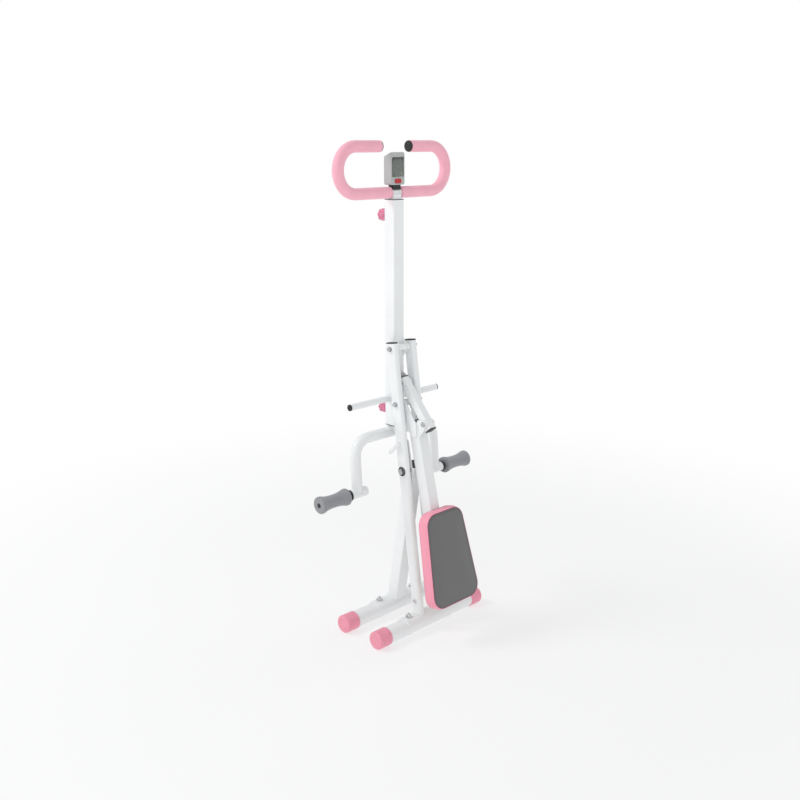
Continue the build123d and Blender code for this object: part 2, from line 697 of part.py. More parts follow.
# ------------------------------------------------------------------ seat arm, seat and link
def seat_arm():
    top, bottom = arm_line(arm_top_z), arm_line(arm_bottom_z)
    tube = box_tube(arm_square, square_wall, square_corner, top, bottom)
    outline = box_bar(arm_square, square_corner, arm_line(760), arm_line(150))
    parts["seat_arm_tube"] = tube
    parts["seat_arm_plugs"] = (square_plug(arm_square, square_wall, square_corner, top, bottom)
                               + square_plug(arm_square, square_wall, square_corner, bottom, top))
    side = wrap((arm_pivot, 16.0), (arm_line(628, 4), 13.0), (arm_line(602), 12.0))
    side -= disc(arm_pivot, sleeve_radius)
    y0 = arm_square / 2
    sleeve = ring_y(arm_pivot, sleeve_radius, swing_bolt_radius + running,
                    -leg_inside_y + 0.5, leg_inside_y - 0.5)
    parts["arm_pivot_bracket"] = (plate_y(side, -y0 - 3.5, -y0) + plate_y(side, y0, y0 + 3.5)
                                  + sleeve)
    roots = [(arm_line(arm_link_pivot[1] - 2, 12), 5), (arm_line(arm_link_pivot[1] - 44, 12), 5)]
    parts["arm_link_ears"] = ears(arm_link_pivot, link_bolt_radius, roots) - outline
    link_fasteners("arm_link", arm_link_pivot)


def link():
    low = toward(arm_link_pivot, post_link_pivot, -20)
    high = toward(post_link_pivot, arm_link_pivot, -13)
    wall = 1.6
    tube = box_tube(link_square, wall, link_corner, low, high)
    bush = ring_y(arm_link_pivot, 7.0, link_bolt_radius + running, -link_square / 2 - 0.4,
                  link_square / 2 + 0.4)
    tube -= rod_y(arm_link_pivot, 7.0, -30, 30)
    clearance = rod_y(post_link_pivot, link_bolt_radius + link_play, -30, 30)
    parts["link_tube"] = tube - clearance + bush
    parts["link_plugs"] = (link_plug(low, high) - rod_y(arm_link_pivot, 7.5, -30, 30)
                           + (link_plug(high, low) - clearance))


def link_plug(end, inward):
    inner = link_square - 2 * 1.6 - 0.1
    head = box_bar(link_square, link_corner, toward(end, inward, -lip), end)
    return head + box_bar(inner, link_corner, end, toward(end, inward, 5))


def seat():
    """Steel plate on the arm, plywood board, padded top with a pocket for the board."""
    lean = radians(arm_lean)
    origin = arm_line(seat_centre_z)
    outward = (cos(lean), sin(lean))

    def layer(outline, low, high):
        base = (origin[0] + outward[0] * low, origin[1] + outward[1] * low)
        plane = Plane(origin=(base[0], 0, base[1]), x_dir=(0, 1, 0),
                      z_dir=(outward[0], 0, outward[1]))
        return extrude(plane * outline, high - low, dir=plane.z_dir)

    arm_face = arm_square / 2
    plate_top = arm_face + seat_plate_thickness
    board_top = plate_top + seat_board_thickness
    plate = layer(RectangleRounded(104, 150, 10), arm_face, plate_top)
    board = layer(seat_outline(-10), plate_top, board_top)
    pad = layer(seat_outline(0), arm_face + 0.6, seat_face_offset)
    rims = pad.faces().sort_by(Axis(origin=(0, 0, 0), direction=(outward[0], 0, outward[1])))
    pad = fillet(rims[-1].edges(), 9.0)
    pad = pad - layer(seat_outline(-9.6), arm_face, board_top + 0.3)
    screws = Part()
    for y in (-42, 42):
        for along in (-60, 60):
            spot = Pos(y, along) * Circle(seat_screw_radius)
            head = Pos(y, along) * Circle(6.0)
            plate -= layer(spot, arm_face - 1, plate_top + 1)
            board -= layer(spot, plate_top - 1, board_top - 1)
            screws += layer(head, arm_face - 3.0, arm_face - 0.1)
            screws += layer(spot, arm_face - 0.2, board_top - 1.2)
    parts["seat_plate"] = plate
    parts["seat_board"] = board
    parts["seat_pad"] = pad
    parts["seat_screws"] = screws


def seat_outline(grow):
    """Seat shape in its own plane, narrow towards the handlebar: local y runs up the arm."""
    half = seat_length / 2 + grow
    shape = Polygon((-seat_nose_half - grow, half), (seat_nose_half + grow, half),
                    (seat_tail_half + grow, -half), (-seat_tail_half - grow, -half), align=None)
    return fillet(shape.vertices(), seat_corner + grow)


rear_frame()
front_frame()
lock_lever()
post()
for knob_name, knob_z in knob_heights.items():
    knob(knob_name, knob_z)
handlebar()
computer()
pedals()
seat_arm()
link()
seat()

os.makedirs("parts", exist_ok=True)
for node, shape in parts.items():
    export_step(shape, f"parts/{node}.step")
print(len(parts), "parts written")
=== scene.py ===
"""Looks of the folding squat trainer: materials, cushion, welds and small details on the CAD frame."""
import json
from math import atan2, cos, pi, radians, sin, sqrt

import bpy
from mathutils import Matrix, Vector
from mathutils.bvhtree import BVHTree


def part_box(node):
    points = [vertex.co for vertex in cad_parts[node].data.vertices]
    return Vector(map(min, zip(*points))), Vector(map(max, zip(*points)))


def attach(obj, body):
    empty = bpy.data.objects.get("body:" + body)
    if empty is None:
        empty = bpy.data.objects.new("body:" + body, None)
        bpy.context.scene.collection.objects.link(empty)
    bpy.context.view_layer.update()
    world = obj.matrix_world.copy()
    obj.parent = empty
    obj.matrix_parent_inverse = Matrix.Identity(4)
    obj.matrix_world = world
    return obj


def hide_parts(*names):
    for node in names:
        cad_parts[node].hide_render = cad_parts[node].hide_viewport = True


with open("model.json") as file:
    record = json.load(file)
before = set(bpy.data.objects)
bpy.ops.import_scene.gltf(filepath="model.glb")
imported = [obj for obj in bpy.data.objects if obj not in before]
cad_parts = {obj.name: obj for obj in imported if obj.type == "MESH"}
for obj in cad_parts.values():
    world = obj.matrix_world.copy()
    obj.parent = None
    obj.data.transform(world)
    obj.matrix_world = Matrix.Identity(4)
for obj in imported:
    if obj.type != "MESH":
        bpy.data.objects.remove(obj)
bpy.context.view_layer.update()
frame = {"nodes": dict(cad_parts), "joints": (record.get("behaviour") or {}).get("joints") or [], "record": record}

NODES = frame["nodes"]
MM = 0.001
X, Y, Z = Vector((1, 0, 0)), Vector((0, 1, 0)), Vector((0, 0, 1))

# ---- places read from the frame, and the sizes of its tubes ----
JOINT = {joint["name"]: joint for joint in frame["joints"]}
POST_PIVOT = Vector(JOINT["post_swing"]["pos_m"])
FRAME_PIVOT = Vector(JOINT["frame_fold"]["pos_m"])
PEDAL_AXLE = Vector(JOINT["roller_left_spin"]["pos_m"])
HALF_TUBE = 20 * MM
PEDAL_TUBE_RADIUS = 16 * MM
POST_REAR_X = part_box("handle_post")[1].x
POST_X = POST_REAR_X - HALF_TUBE
POST_FRONT_X = POST_X - HALF_TUBE
ARM_LEAN = radians(13.16)


def centre(node):
    """Middle of a node's box at rest."""
    low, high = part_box(node)
    return (low + high) / 2


REAR_FOOT = centre("rear_foot_tube")
FRONT_FOOT = centre("front_foot_tube")
BAND_BAR = centre("band_bar")
PEDAL_CROSS_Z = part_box("pedal_tube")[1].z - PEDAL_TUBE_RADIUS


# ------------------------------------------------------------------ shader helpers
class Shader:
    """A principled material whose colour, roughness and normal are built from procedural layers."""

    def __init__(self, name, color, roughness, metallic=0.0, **settings):
        self.material = bpy.data.materials.new(name)
        self.material.use_nodes = True
        self.tree = self.material.node_tree
        self.surface = self.tree.nodes["Principled BSDF"]
        self.surface.inputs["Base Color"].default_value = (*color, 1)
        self.surface.inputs["Roughness"].default_value = roughness
        self.surface.inputs["Metallic"].default_value = metallic
        for socket, value in settings.items():
            self.surface.inputs[socket.replace("_", " ")].default_value = value
        self.material.diffuse_color = (*color, 1)
        self.place = self.add("ShaderNodeTexCoord").outputs["Object"]
        self.normal = None

    def add(self, kind, **values):
        node = self.tree.nodes.new(kind)
        for key, value in values.items():
            if key in node.inputs:
                node.inputs[key].default_value = value
            else:
                setattr(node, key, value)
        return node

    def join(self, source, node, socket):
        self.tree.links.new(source, node.inputs[socket])

    def noise(self, scale, detail=3.0, rough=0.55, stretch=None):
        node = self.add("ShaderNodeTexNoise", Scale=scale, Detail=detail, Roughness=rough)
        self.join(self.stretched(stretch), node, "Vector")
        return node.outputs["Fac"]

    def cells(self, scale, feature="F1", stretch=None):
        node = self.add("ShaderNodeTexVoronoi", Scale=scale, feature=feature)
        self.join(self.stretched(stretch), node, "Vector")
        return node.outputs["Distance"]

    def stretched(self, stretch):
        if stretch is None:
            return self.place
        mapping = self.add("ShaderNodeMapping")
        mapping.inputs["Scale"].default_value = stretch
        self.join(self.place, mapping, "Vector")
        return mapping.outputs["Vector"]

    def ramp(self, source, *stops):
        node = self.add("ShaderNodeValToRGB")
        elements = node.color_ramp.elements
        while len(elements) < len(stops):
            elements.new(0.5)
        for element, (position, color) in zip(elements, stops):
            element.position = position
            element.color = (*color, 1) if isinstance(color, tuple) else (color, color, color, 1)
        self.join(source, node, "Fac")
        return node.outputs["Color"]

    def mix(self, factor, first, second):
        node = self.add("ShaderNodeMix", data_type="RGBA")
        self.feed(node, 0, factor)
        self.feed(node, 6, first)
        self.feed(node, 7, second)
        return node.outputs[2]

    def math(self, operation, first, second):
        node = self.add("ShaderNodeMath", operation=operation)
        self.feed(node, 0, first)
        self.feed(node, 1, second)
        return node.outputs[0]

    def feed(self, node, index, value):
        if isinstance(value, bpy.types.NodeSocket):
            self.tree.links.new(value, node.inputs[index])
        elif isinstance(value, tuple):
            node.inputs[index].default_value = (*value, 1)
        else:
            node.inputs[index].default_value = value

    def color(self, source):
        self.join(source, self.surface, "Base Color")

    def roughness(self, source, low, high):
        node = self.add("ShaderNodeMapRange")
        node.inputs["To Min"].default_value = low
        node.inputs["To Max"].default_value = high
        self.join(source, node, "Value")
        self.join(node.outputs["Result"], self.surface, "Roughness")

    def round_edges(self, radius):
        """Softens sharp edges, as paint and moulding do."""
        node = self.add("ShaderNodeBevel", samples=4, Radius=radius)
        self.normal = node.outputs["Normal"]
        return self

    def bump(self, source, distance, strength=1.0):
        node = self.add("ShaderNodeBump", Strength=strength, Distance=distance)
        self.join(source, node, "Height")
        if self.normal is not None:
            self.join(self.normal, node, "Normal")
        self.normal = node.outputs["Normal"]
        return self

    def done(self):
        if self.normal is not None:
            self.join(self.normal, self.surface, "Normal")
        return self.material


# ------------------------------------------------------------------ materials
def powder_coat(name, color):
    """White powder coat: orange peel, faint clouding and a few cured-in specks."""
    shade = Shader(name, color, 0.34, Specular_IOR_Level=0.42, Coat_Weight=0.15, Coat_Roughness=0.22)
    cloud = shade.noise(9.0, 4.0)
    darker = tuple(value * 0.955 for value in color)
    tone = shade.ramp(cloud, (0.30, darker), (0.62, color))
    specks = shade.ramp(shade.cells(420.0), (0.045, 1.0), (0.075, 0.0))
    rare = shade.ramp(shade.noise(60.0, 1.0), (0.62, 0.0), (0.70, 1.0))
    speck_mask = shade.math("MULTIPLY", specks, rare)
    shade.color(shade.mix(shade.math("MULTIPLY", speck_mask, 0.22), tone,
                          tuple(value * 0.62 for value in color)))
    shade.roughness(shade.noise(35.0, 5.0), 0.27, 0.43)
    shade.round_edges(0.7 * MM)
    shade.bump(shade.noise(520.0, 2.0), 0.12 * MM, 0.55)
    shade.bump(shade.noise(1900.0, 2.0), 0.03 * MM, 0.5)
    return shade.done()


def foam(name, color, dark, pore_scale):
    """Closed-cell foam: packed pores darkened by painted shade in their pits, soft mottling and a dull surface."""
    shade = Shader(name, color, 0.82, Specular_IOR_Level=0.25, Sheen_Weight=0.35,
                   Sheen_Roughness=0.45)
    pores = shade.cells(pore_scale)
    # Painted shade: the colour falls to the dark argument at the middle of each pore, where the bump below sinks a
    # pit.
    pore_shade_tone = shade.ramp(pores, (0.05, dark), (0.34, color))
    mottle = shade.ramp(shade.noise(28.0, 5.0), (0.32, tuple(value * 0.93 for value in color)),
                        (0.66, tuple(min(1.0, value * 1.03) for value in color)))
    shade.color(shade.mix(0.42, mottle, pore_shade_tone))
    shade.roughness(shade.noise(70.0, 3.0), 0.72, 0.92)
    shade.round_edges(1.2 * MM)
    shade.bump(shade.ramp(pores, (0.02, 0.0), (0.45, 1.0)), 0.22 * MM, 0.7)
    shade.bump(shade.noise(240.0, 3.0), 0.15 * MM, 0.45)
    return shade.done()


def moulded(name, color, roughness, texture, depth, edge=0.5 * MM, variation=0.92, **settings):
    """Moulded plastic or rubber with a spark-eroded grain."""
    shade = Shader(name, color, roughness, **settings)
    tone = shade.ramp(shade.noise(45.0, 4.0), (0.33, tuple(value * variation for value in color)),
                      (0.64, color))
    shade.color(tone)
    shade.roughness(shade.noise(120.0, 3.0), roughness - 0.07, roughness + 0.08)
    shade.round_edges(edge)
    shade.bump(shade.noise(texture, 3.0, 0.65), depth, 0.6)
    return shade.done()


def vinyl(name, color, grain=430.0):
    """Upholstery vinyl: cell-shaped grain with fine creases darkened by painted shade, and a slight shine on its
    high spots.
    """
    shade = Shader(name, color, 0.50, Specular_IOR_Level=0.38, Sheen_Weight=0.15,
                   Sheen_Roughness=0.5)
    pebble = shade.cells(grain, "SMOOTH_F1")
    crease = shade.ramp(pebble, (0.10, 1.0), (0.60, 0.0))
    # Painted shade: the colour darkens towards the cell borders, where the grain's creases sink.
    valley_shade = tuple(value * 0.84 for value in color)
    tone = shade.ramp(pebble, (0.22, color), (0.75, valley_shade))
    cloud = shade.ramp(shade.noise(16.0, 4.0), (0.3, tuple(value * 0.94 for value in color)),
                       (0.65, color))
    shade.color(shade.mix(0.45, cloud, tone))
    shade.roughness(pebble, 0.42, 0.66)
    shade.bump(crease, 0.16 * MM, 0.75)
    shade.bump(shade.noise(1500.0, 3.0), 0.05 * MM, 0.5)
    shade.bump(shade.noise(26.0, 3.0), 0.5 * MM, 0.18)
    return shade.done()


def plated(name, color, roughness, grain, stretch):
    """Plated steel: turned or drawn marks, dull patches and rounded edges."""
    shade = Shader(name, color, roughness, 1.0)
    marks = shade.noise(grain, 3.0, 0.6, stretch)
    patch = shade.noise(90.0, 4.0)
    shade.color(shade.ramp(patch, (0.3, tuple(value * 0.80 for value in color)), (0.62, color)))
    shade.roughness(marks, roughness * 0.65, roughness * 1.5)
    shade.round_edges(0.35 * MM)
    shade.bump(marks, 0.03 * MM, 0.35)
    return shade.done()


def plywood(name):
    """Birch plywood: face grain, with thin dark glue lines through the thickness."""
    shade = Shader(name, (0.56, 0.39, 0.22), 0.62)
    grain = shade.noise(60.0, 6.0, 0.6, (1.0, 9.0, 1.0))
    wave = shade.add("ShaderNodeTexWave", Scale=150.0, Distortion=1.2, bands_direction="X")
    shade.join(shade.place, wave, "Vector")
    face = shade.ramp(grain, (0.3, (0.45, 0.29, 0.15)), (0.7, (0.64, 0.46, 0.27)))
    shade.color(shade.mix(shade.math("MULTIPLY", wave.outputs["Fac"], 0.30), face,
                          (0.28, 0.17, 0.08)))
    shade.roughness(grain, 0.52, 0.75)
    shade.bump(grain, 0.15 * MM, 0.5)
    return shade.done()


def woven(name, color):
    """Thin non-woven dust cover."""
    shade = Shader(name, color, 0.9, Sheen_Weight=0.3)
    threads = shade.noise(700.0, 4.0, 0.7, (1.0, 3.0, 3.0))
    shade.color(shade.ramp(threads, (0.35, tuple(value * 0.6 for value in color)), (0.7, color)))
    shade.bump(threads, 0.15 * MM, 0.8)
    return shade.done()


def acrylic(name):
    """Clear window with faint scuffs."""
    shade = Shader(name, (0.93, 0.96, 0.94), 0.06, Transmission_Weight=1.0, IOR=1.46)
    shade.surface.inputs["Alpha"].default_value = 0.16
    scuffs = shade.noise(240.0, 5.0, 0.6, (1.0, 1.0, 6.0))
    shade.roughness(scuffs, 0.03, 0.13)
    shade.bump(scuffs, 0.01 * MM, 0.2)
    return shade.done()


def display_glass(name):
    """Reflective display: grey-green polariser with a faint weave of cells."""
    shade = Shader(name, (0.070, 0.092, 0.072), 0.32, Coat_Weight=0.15)
    weave = shade.cells(1600.0)
    shade.color(shade.ramp(weave, (0.1, (0.060, 0.080, 0.062)), (0.6, (0.082, 0.106, 0.084))))
    shade.roughness(shade.noise(80.0, 3.0), 0.25, 0.40)
    shade.bump(weave, 0.02 * MM, 0.3)
    return shade.done()


WHITE = (0.870, 0.886, 0.892)
PINK = (0.96, 0.360, 0.470)
MATERIALS = {
    "white_paint": powder_coat("white_paint", WHITE),
    "pink_foot_rubber": moulded("pink_foot_rubber", (0.90, 0.330, 0.430), 0.55, 900.0, 0.10 * MM,
                                0.8 * MM, Sheen_Weight=0.1),
    "pink_foam": foam("pink_foam", (0.93, 0.460, 0.560), (0.84, 0.340, 0.450), 900.0),
    "pink_plastic": moulded("pink_plastic", (0.70, 0.190, 0.320), 0.26, 1300.0, 0.04 * MM,
                            0.6 * MM, Coat_Weight=0.35),
    "seat_cover": vinyl("seat_cover", PINK),
    "seat_panel": vinyl("seat_panel", (0.160, 0.160, 0.158), 520.0),
    "seam_cord": vinyl("seam_cord", (0.240, 0.080, 0.125), 900.0),
    "dust_cover": woven("dust_cover", (0.03, 0.03, 0.032)),
    "plywood": plywood("plywood"),
    "black_plastic": moulded("black_plastic", (0.014, 0.014, 0.015), 0.46, 1500.0, 0.06 * MM),
    "grey_foam": foam("grey_foam", (0.300, 0.305, 0.325), (0.205, 0.208, 0.222), 620.0),
    "core_plastic": moulded("core_plastic", (0.020, 0.020, 0.021), 0.5, 1200.0, 0.05 * MM),
    "chrome_fastener": plated("chrome_fastener", (0.74, 0.75, 0.76), 0.13, 400.0, (1, 1, 4)),
    "zinc_fastener": plated("zinc_fastener", (0.56, 0.57, 0.59), 0.30, 600.0, (1, 5, 1)),
    "axle_steel": moulded("axle_steel", (0.010, 0.010, 0.011), 0.40, 1100.0, 0.05 * MM),
    "computer_shell": moulded("computer_shell", (0.46, 0.47, 0.47), 0.50, 1700.0, 0.06 * MM,
                              0.8 * MM, 0.95),
    "window": acrylic("window"),
    "display": display_glass("display"),
    "circuit_board": moulded("circuit_board", (0.020, 0.150, 0.060), 0.35, 300.0, 0.05 * MM),
    "cell_jacket": moulded("cell_jacket", (0.09, 0.09, 0.11), 0.28, 700.0, 0.03 * MM,
                           Coat_Weight=0.4),
    "red_rubber": moulded("red_rubber", (0.52, 0.020, 0.030), 0.45, 1400.0, 0.06 * MM),
    "segments": moulded("segments", (0.030, 0.042, 0.032), 0.5, 1500.0, 0.02 * MM),
    "thread": moulded("thread", (0.13, 0.13, 0.13), 0.8, 2500.0, 0.05 * MM),
}


def dress_cad_nodes():
    """Gives each CAD node the procedural material of its slot."""
    for entry in frame["record"]["subparts"]:
        node = NODES[entry["node"]]
        for material_slot in node.material_slots:
            material_slot.material = MATERIALS[entry["material_slot"]]


# ------------------------------------------------------------------ mesh helpers
def new_object(name, vertices, faces, body, slot, *materials):
    """Smooth-shaded piece that rides on a body."""
    mesh = bpy.data.meshes.new(name)
    mesh.from_pydata(vertices, [], faces)
    mesh.validate()
    mesh.update()
    for material in materials:
        mesh.materials.append(MATERIALS[material])
    mesh.polygons.foreach_set("use_smooth", [True] * len(mesh.polygons))
    piece = bpy.data.objects.new(name, mesh)
    bpy.context.scene.collection.objects.link(piece)
    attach(piece, body)
    return piece


def tube_rings(points, radii, sides, closed, normal_hint):
    """Vertices and quads of a tube through the points, with one radius for each point."""
    vertices, faces = [], []
    count = len(points)
    for index, point in enumerate(points):
        if closed:
            ahead, behind = points[(index + 1) % count], points[index - 1]
        else:
            ahead, behind = points[min(index + 1, count - 1)], points[max(index - 1, 0)]
        tangent = (ahead - behind).normalized()
        across = tangent.cross(normal_hint).normalized()
        up = across.cross(tangent)
        for side in range(sides):
            turn = 2 * pi * side / sides
            vertices.append(point + radii[index] * (cos(turn) * across + sin(turn) * up))
    for ring in range(count if closed else count - 1):
        following = (ring + 1) % count
        for side in range(sides):
            beside = (side + 1) % sides
            faces.append((ring * sides + side, ring * sides + beside,
                          following * sides + beside, following * sides + side))
    if not closed:
        faces.append(tuple(reversed(range(sides))))
        faces.append(tuple((count - 1) * sides + side for side in range(sides)))
    return vertices, faces


def resample(points, step, closed):
    """Evenly spaced points along a polyline."""
    route = points + [points[0]] if closed else points
    lengths = [(b - a).length for a, b in zip(route, route[1:])]
    total = sum(lengths)
    count = max(4, round(total / step))
    result, piece, passed = [], 0, 0.0
    for index in range(count if closed else count + 1):
        target = total * index / count
        while piece < len(lengths) - 1 and passed + lengths[piece] < target:
            passed += lengths[piece]
            piece += 1
        share = (target - passed) / lengths[piece] if lengths[piece] else 0.0
        result.append(route[piece].lerp(route[piece + 1], min(1.0, share)))
    return result


def join_shells(shells):
    """Several (vertices, faces) pairs as one pair."""
    vertices, faces = [], []
    for more_vertices, more_faces in shells:
        start = len(vertices)
        vertices += more_vertices
        faces += [tuple(start + corner for corner in face) for face in more_faces]
    return vertices, faces


def weld(name, body, routes, radius, normal_hint):
    """Weld beads, each with the overlapping ripples of a laid bead, under the paint."""
    step = 0.55 * MM
    steps_in_ripple = 3
    ripple_height = 0.13
    tapered_steps = 3
    shells = []
    for points, closed in routes:
        path = resample(points, step, closed)
        radii = [radius * (1 + ripple_height * abs(sin(pi * index / steps_in_ripple)))
                 for index in range(len(path))]
        if not closed:
            for index in range(tapered_steps):
                taper = 0.45 + 0.18 * index
                radii[index] *= taper
                radii[-1 - index] *= taper
        shells.append(tube_rings(path, radii, sides=8, closed=closed, normal_hint=normal_hint))
    vertices, faces = join_shells(shells)
    new_object(name, vertices, faces, body, "white_paint", "white_paint")


def circle(point, radius, first, second, count=40):
    """Points around a circle in the plane of two directions."""
    return [point + radius * (cos(2 * pi * k / count) * first + sin(2 * pi * k / count) * second)
            for k in range(count)]


def saddle_loop(foot, toward, half_width, half_depth, corner, reach, y):
    """Loop where a bar that leaves a foot's axis meets the saddle of radius reach."""
    along = (toward - foot).normalized()
    across = along.cross(Y).normalized()
    loop = []
    for a, b in rounded_outline(half_width, half_depth, corner):
        depth = sqrt(max(0.0, reach ** 2 - min(abs(a), reach) ** 2))
        loop.append(Vector((foot.x, y, foot.z)) + a * across + b * Y + depth * along)
    return loop


def rounded_outline(half_width, half_depth, corner, count=8):
    """Points of a rounded rectangle about the origin, as pairs."""
    outline = []
    for quarter, (sign_a, sign_b) in enumerate(((1, 1), (-1, 1), (-1, -1), (1, -1))):
        for k in range(count + 1):
            turn = pi / 2 * (quarter + k / count)
            outline.append((sign_a * (half_width - corner) + corner * cos(turn),
                            sign_b * (half_depth - corner) + corner * sin(turn)))
    return outline


# ------------------------------------------------------------------ welds
def frame_welds():
    """Beads where the three legs stand on the saddles of the foot tubes."""
    saddle_radius = 29.4 * MM
    rear_leg_y = 37 * MM
    rear_half_depth, rear_corner = 10 * MM, 9.9 * MM
    front_corner = 3.2 * MM
    rear = [(saddle_loop(REAR_FOOT, POST_PIVOT, HALF_TUBE, rear_half_depth, rear_corner,
                         saddle_radius, side * rear_leg_y), True) for side in (-1, 1)]
    weld("rear_leg_welds", "rear_frame", rear, 1.9 * MM, X)
    front = [(saddle_loop(FRONT_FOOT, FRAME_PIVOT, HALF_TUBE, HALF_TUBE, front_corner,
                          saddle_radius, 0.0), True)]
    weld("front_leg_weld", "front_frame", front, 2.0 * MM, X)


def post_welds():
    """Beads at the post's pivot sleeve, link ears, knob nuts and band bar."""
    sleeve_half_height, sleeve_half_length = 7.5 * MM, 18 * MM
    sleeve_weld_out, ear_weld_out, ear_weld_gap = 0.6 * MM, 0.3 * MM, 0.2 * MM
    ear_margin = 5 * MM
    knob_nut_radius = 9.6 * MM
    band_bar_weld_radius, band_bar_weld_y = 11.6 * MM, 20.2 * MM
    routes = []
    for height in (-sleeve_half_height, sleeve_half_height):
        line = [Vector((POST_REAR_X + sleeve_weld_out, side * sleeve_half_length,
                        POST_PIVOT.z + height)) for side in (-1, 1)]
        routes.append((line, False))
    ear_low, ear_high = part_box("post_link_ears")
    for y in (ear_low.y - ear_weld_gap, ear_high.y + ear_weld_gap):
        line = [Vector((POST_REAR_X + ear_weld_out, y, ear_low.z + ear_margin)),
                Vector((POST_REAR_X + ear_weld_out, y, ear_high.z - ear_margin))]
        routes.append((line, False))
    weld("post_rear_welds", "post", routes, 1.6 * MM, X)
    rings = []
    for node in ("upper_knob", "lower_knob"):
        spot = Vector((POST_FRONT_X - 0.2 * MM, 0, centre(node).z))
        rings.append((circle(spot, knob_nut_radius, Y, Z), True))
    weld("knob_nut_welds", "post", rings, 1.2 * MM, X)
    sides = [(circle(Vector((POST_X, side * band_bar_weld_y, BAND_BAR.z)), band_bar_weld_radius, X, Z),
              True) for side in (-1, 1)]
    weld("band_bar_welds", "post", sides, 1.4 * MM, Y)


def pedal_welds():
    """Beads where the pedal frame's stem meets its tube, and where the tube meets the axle sleeves."""
    stem_half, stem_corner, tube_reach = 16.7 * MM, 2.4 * MM, 16.2 * MM
    arm_corner, sleeve_reach = 15.9 * MM, 14.7 * MM
    arm_y = 162 * MM
    foot = Vector((POST_X, 0, PEDAL_CROSS_Z))
    stem = saddle_loop(foot, foot + Z, stem_half, stem_half, stem_corner, tube_reach, 0.0)
    weld("pedal_stem_weld", "pedal_frame", [(stem, True)], 1.6 * MM, X)
    arms = []
    for side in (-1, 1):
        y = side * arm_y
        arm_foot = Vector((PEDAL_AXLE.x, y, PEDAL_AXLE.z))
        arm_top = Vector((POST_X, y, PEDAL_CROSS_Z))
        arms.append((saddle_loop(arm_foot, arm_top, PEDAL_TUBE_RADIUS, PEDAL_TUBE_RADIUS, arm_corner,
                                 sleeve_reach, y), True))
    weld("pedal_sleeve_welds", "pedal_frame", arms, 1.5 * MM, X)


# ------------------------------------------------------------------ seat cushion
SEAT_UP = Vector((-sin(ARM_LEAN), 0, cos(ARM_LEAN)))
SEAT_OUT = Vector((cos(ARM_LEAN), 0, sin(ARM_LEAN)))


def spans(node, *directions):
    """Lowest and highest reach of a node along each direction."""
    places = [vertex.co for vertex in NODES[node].data.vertices]
    result = []
    for direction in directions:
        reach = [direction.dot(place) for place in places]
        result.append((min(reach), max(reach)))
    return result


(PAD_TAIL, PAD_NOSE), (PAD_BACK, PAD_FACE) = spans("seat_pad", SEAT_UP, SEAT_OUT)
_, (_, BOARD_FACE) = spans("seat_board", SEAT_UP, SEAT_OUT)
PAD_MIDDLE = (PAD_TAIL + PAD_NOSE) / 2
PAD_HALF = (PAD_NOSE - PAD_TAIL) / 2
NOSE_HALF = 77 * MM
TAIL_HALF = 103 * MM
PAD_CORNER = 42 * MM
BORDER = 3.2 * MM


def seat_outline(inset, count=14, straight=14):
    """Rounded trapezoid in the seat's plane as (across, up) pairs, the same number for any inset."""
    slope = atan2(TAIL_HALF - NOSE_HALF, 2 * PAD_HALF)
    radius = max(PAD_CORNER - inset, 1.0 * MM)
    half = PAD_HALF - inset
    spread = inset / cos(slope)

    def half_width(up):
        return NOSE_HALF + (TAIL_HALF - NOSE_HALF) * (PAD_HALF - up) / (2 * PAD_HALF) - spread

    def corner(sign, top):
        up = (half - radius) * (1 if top else -1)
        tilt = sin(slope) * radius
        across = half_width(up + tilt) - radius * cos(slope)
        return (sign * across, up)

    arcs = [(corner(1, False), -pi / 2, slope), (corner(1, True), slope, pi / 2),
            (corner(-1, True), pi / 2, pi - slope), (corner(-1, False), pi - slope, 3 * pi / 2)]
    outline = []
    for index, (middle, start, stop) in enumerate(arcs):
        for k in range(count):
            turn = start + (stop - start) * k / (count - 1)
            outline.append((middle[0] + radius * cos(turn), middle[1] + radius * sin(turn)))
        following, next_start = arcs[(index + 1) % 4][0], arcs[(index + 1) % 4][1]
        last = outline[-1]
        first = (following[0] + radius * cos(next_start), following[1] + radius * sin(next_start))
        for k in range(1, straight):
            share = k / straight
            outline.append((last[0] + (first[0] - last[0]) * share,
                            last[1] + (first[1] - last[1]) * share))
    return outline


def seat_point(across, up, out):
    """Point from distances across the seat, up its length from its middle and out from the arm."""
    return across * Y + (PAD_MIDDLE + up) * SEAT_UP + out * SEAT_OUT


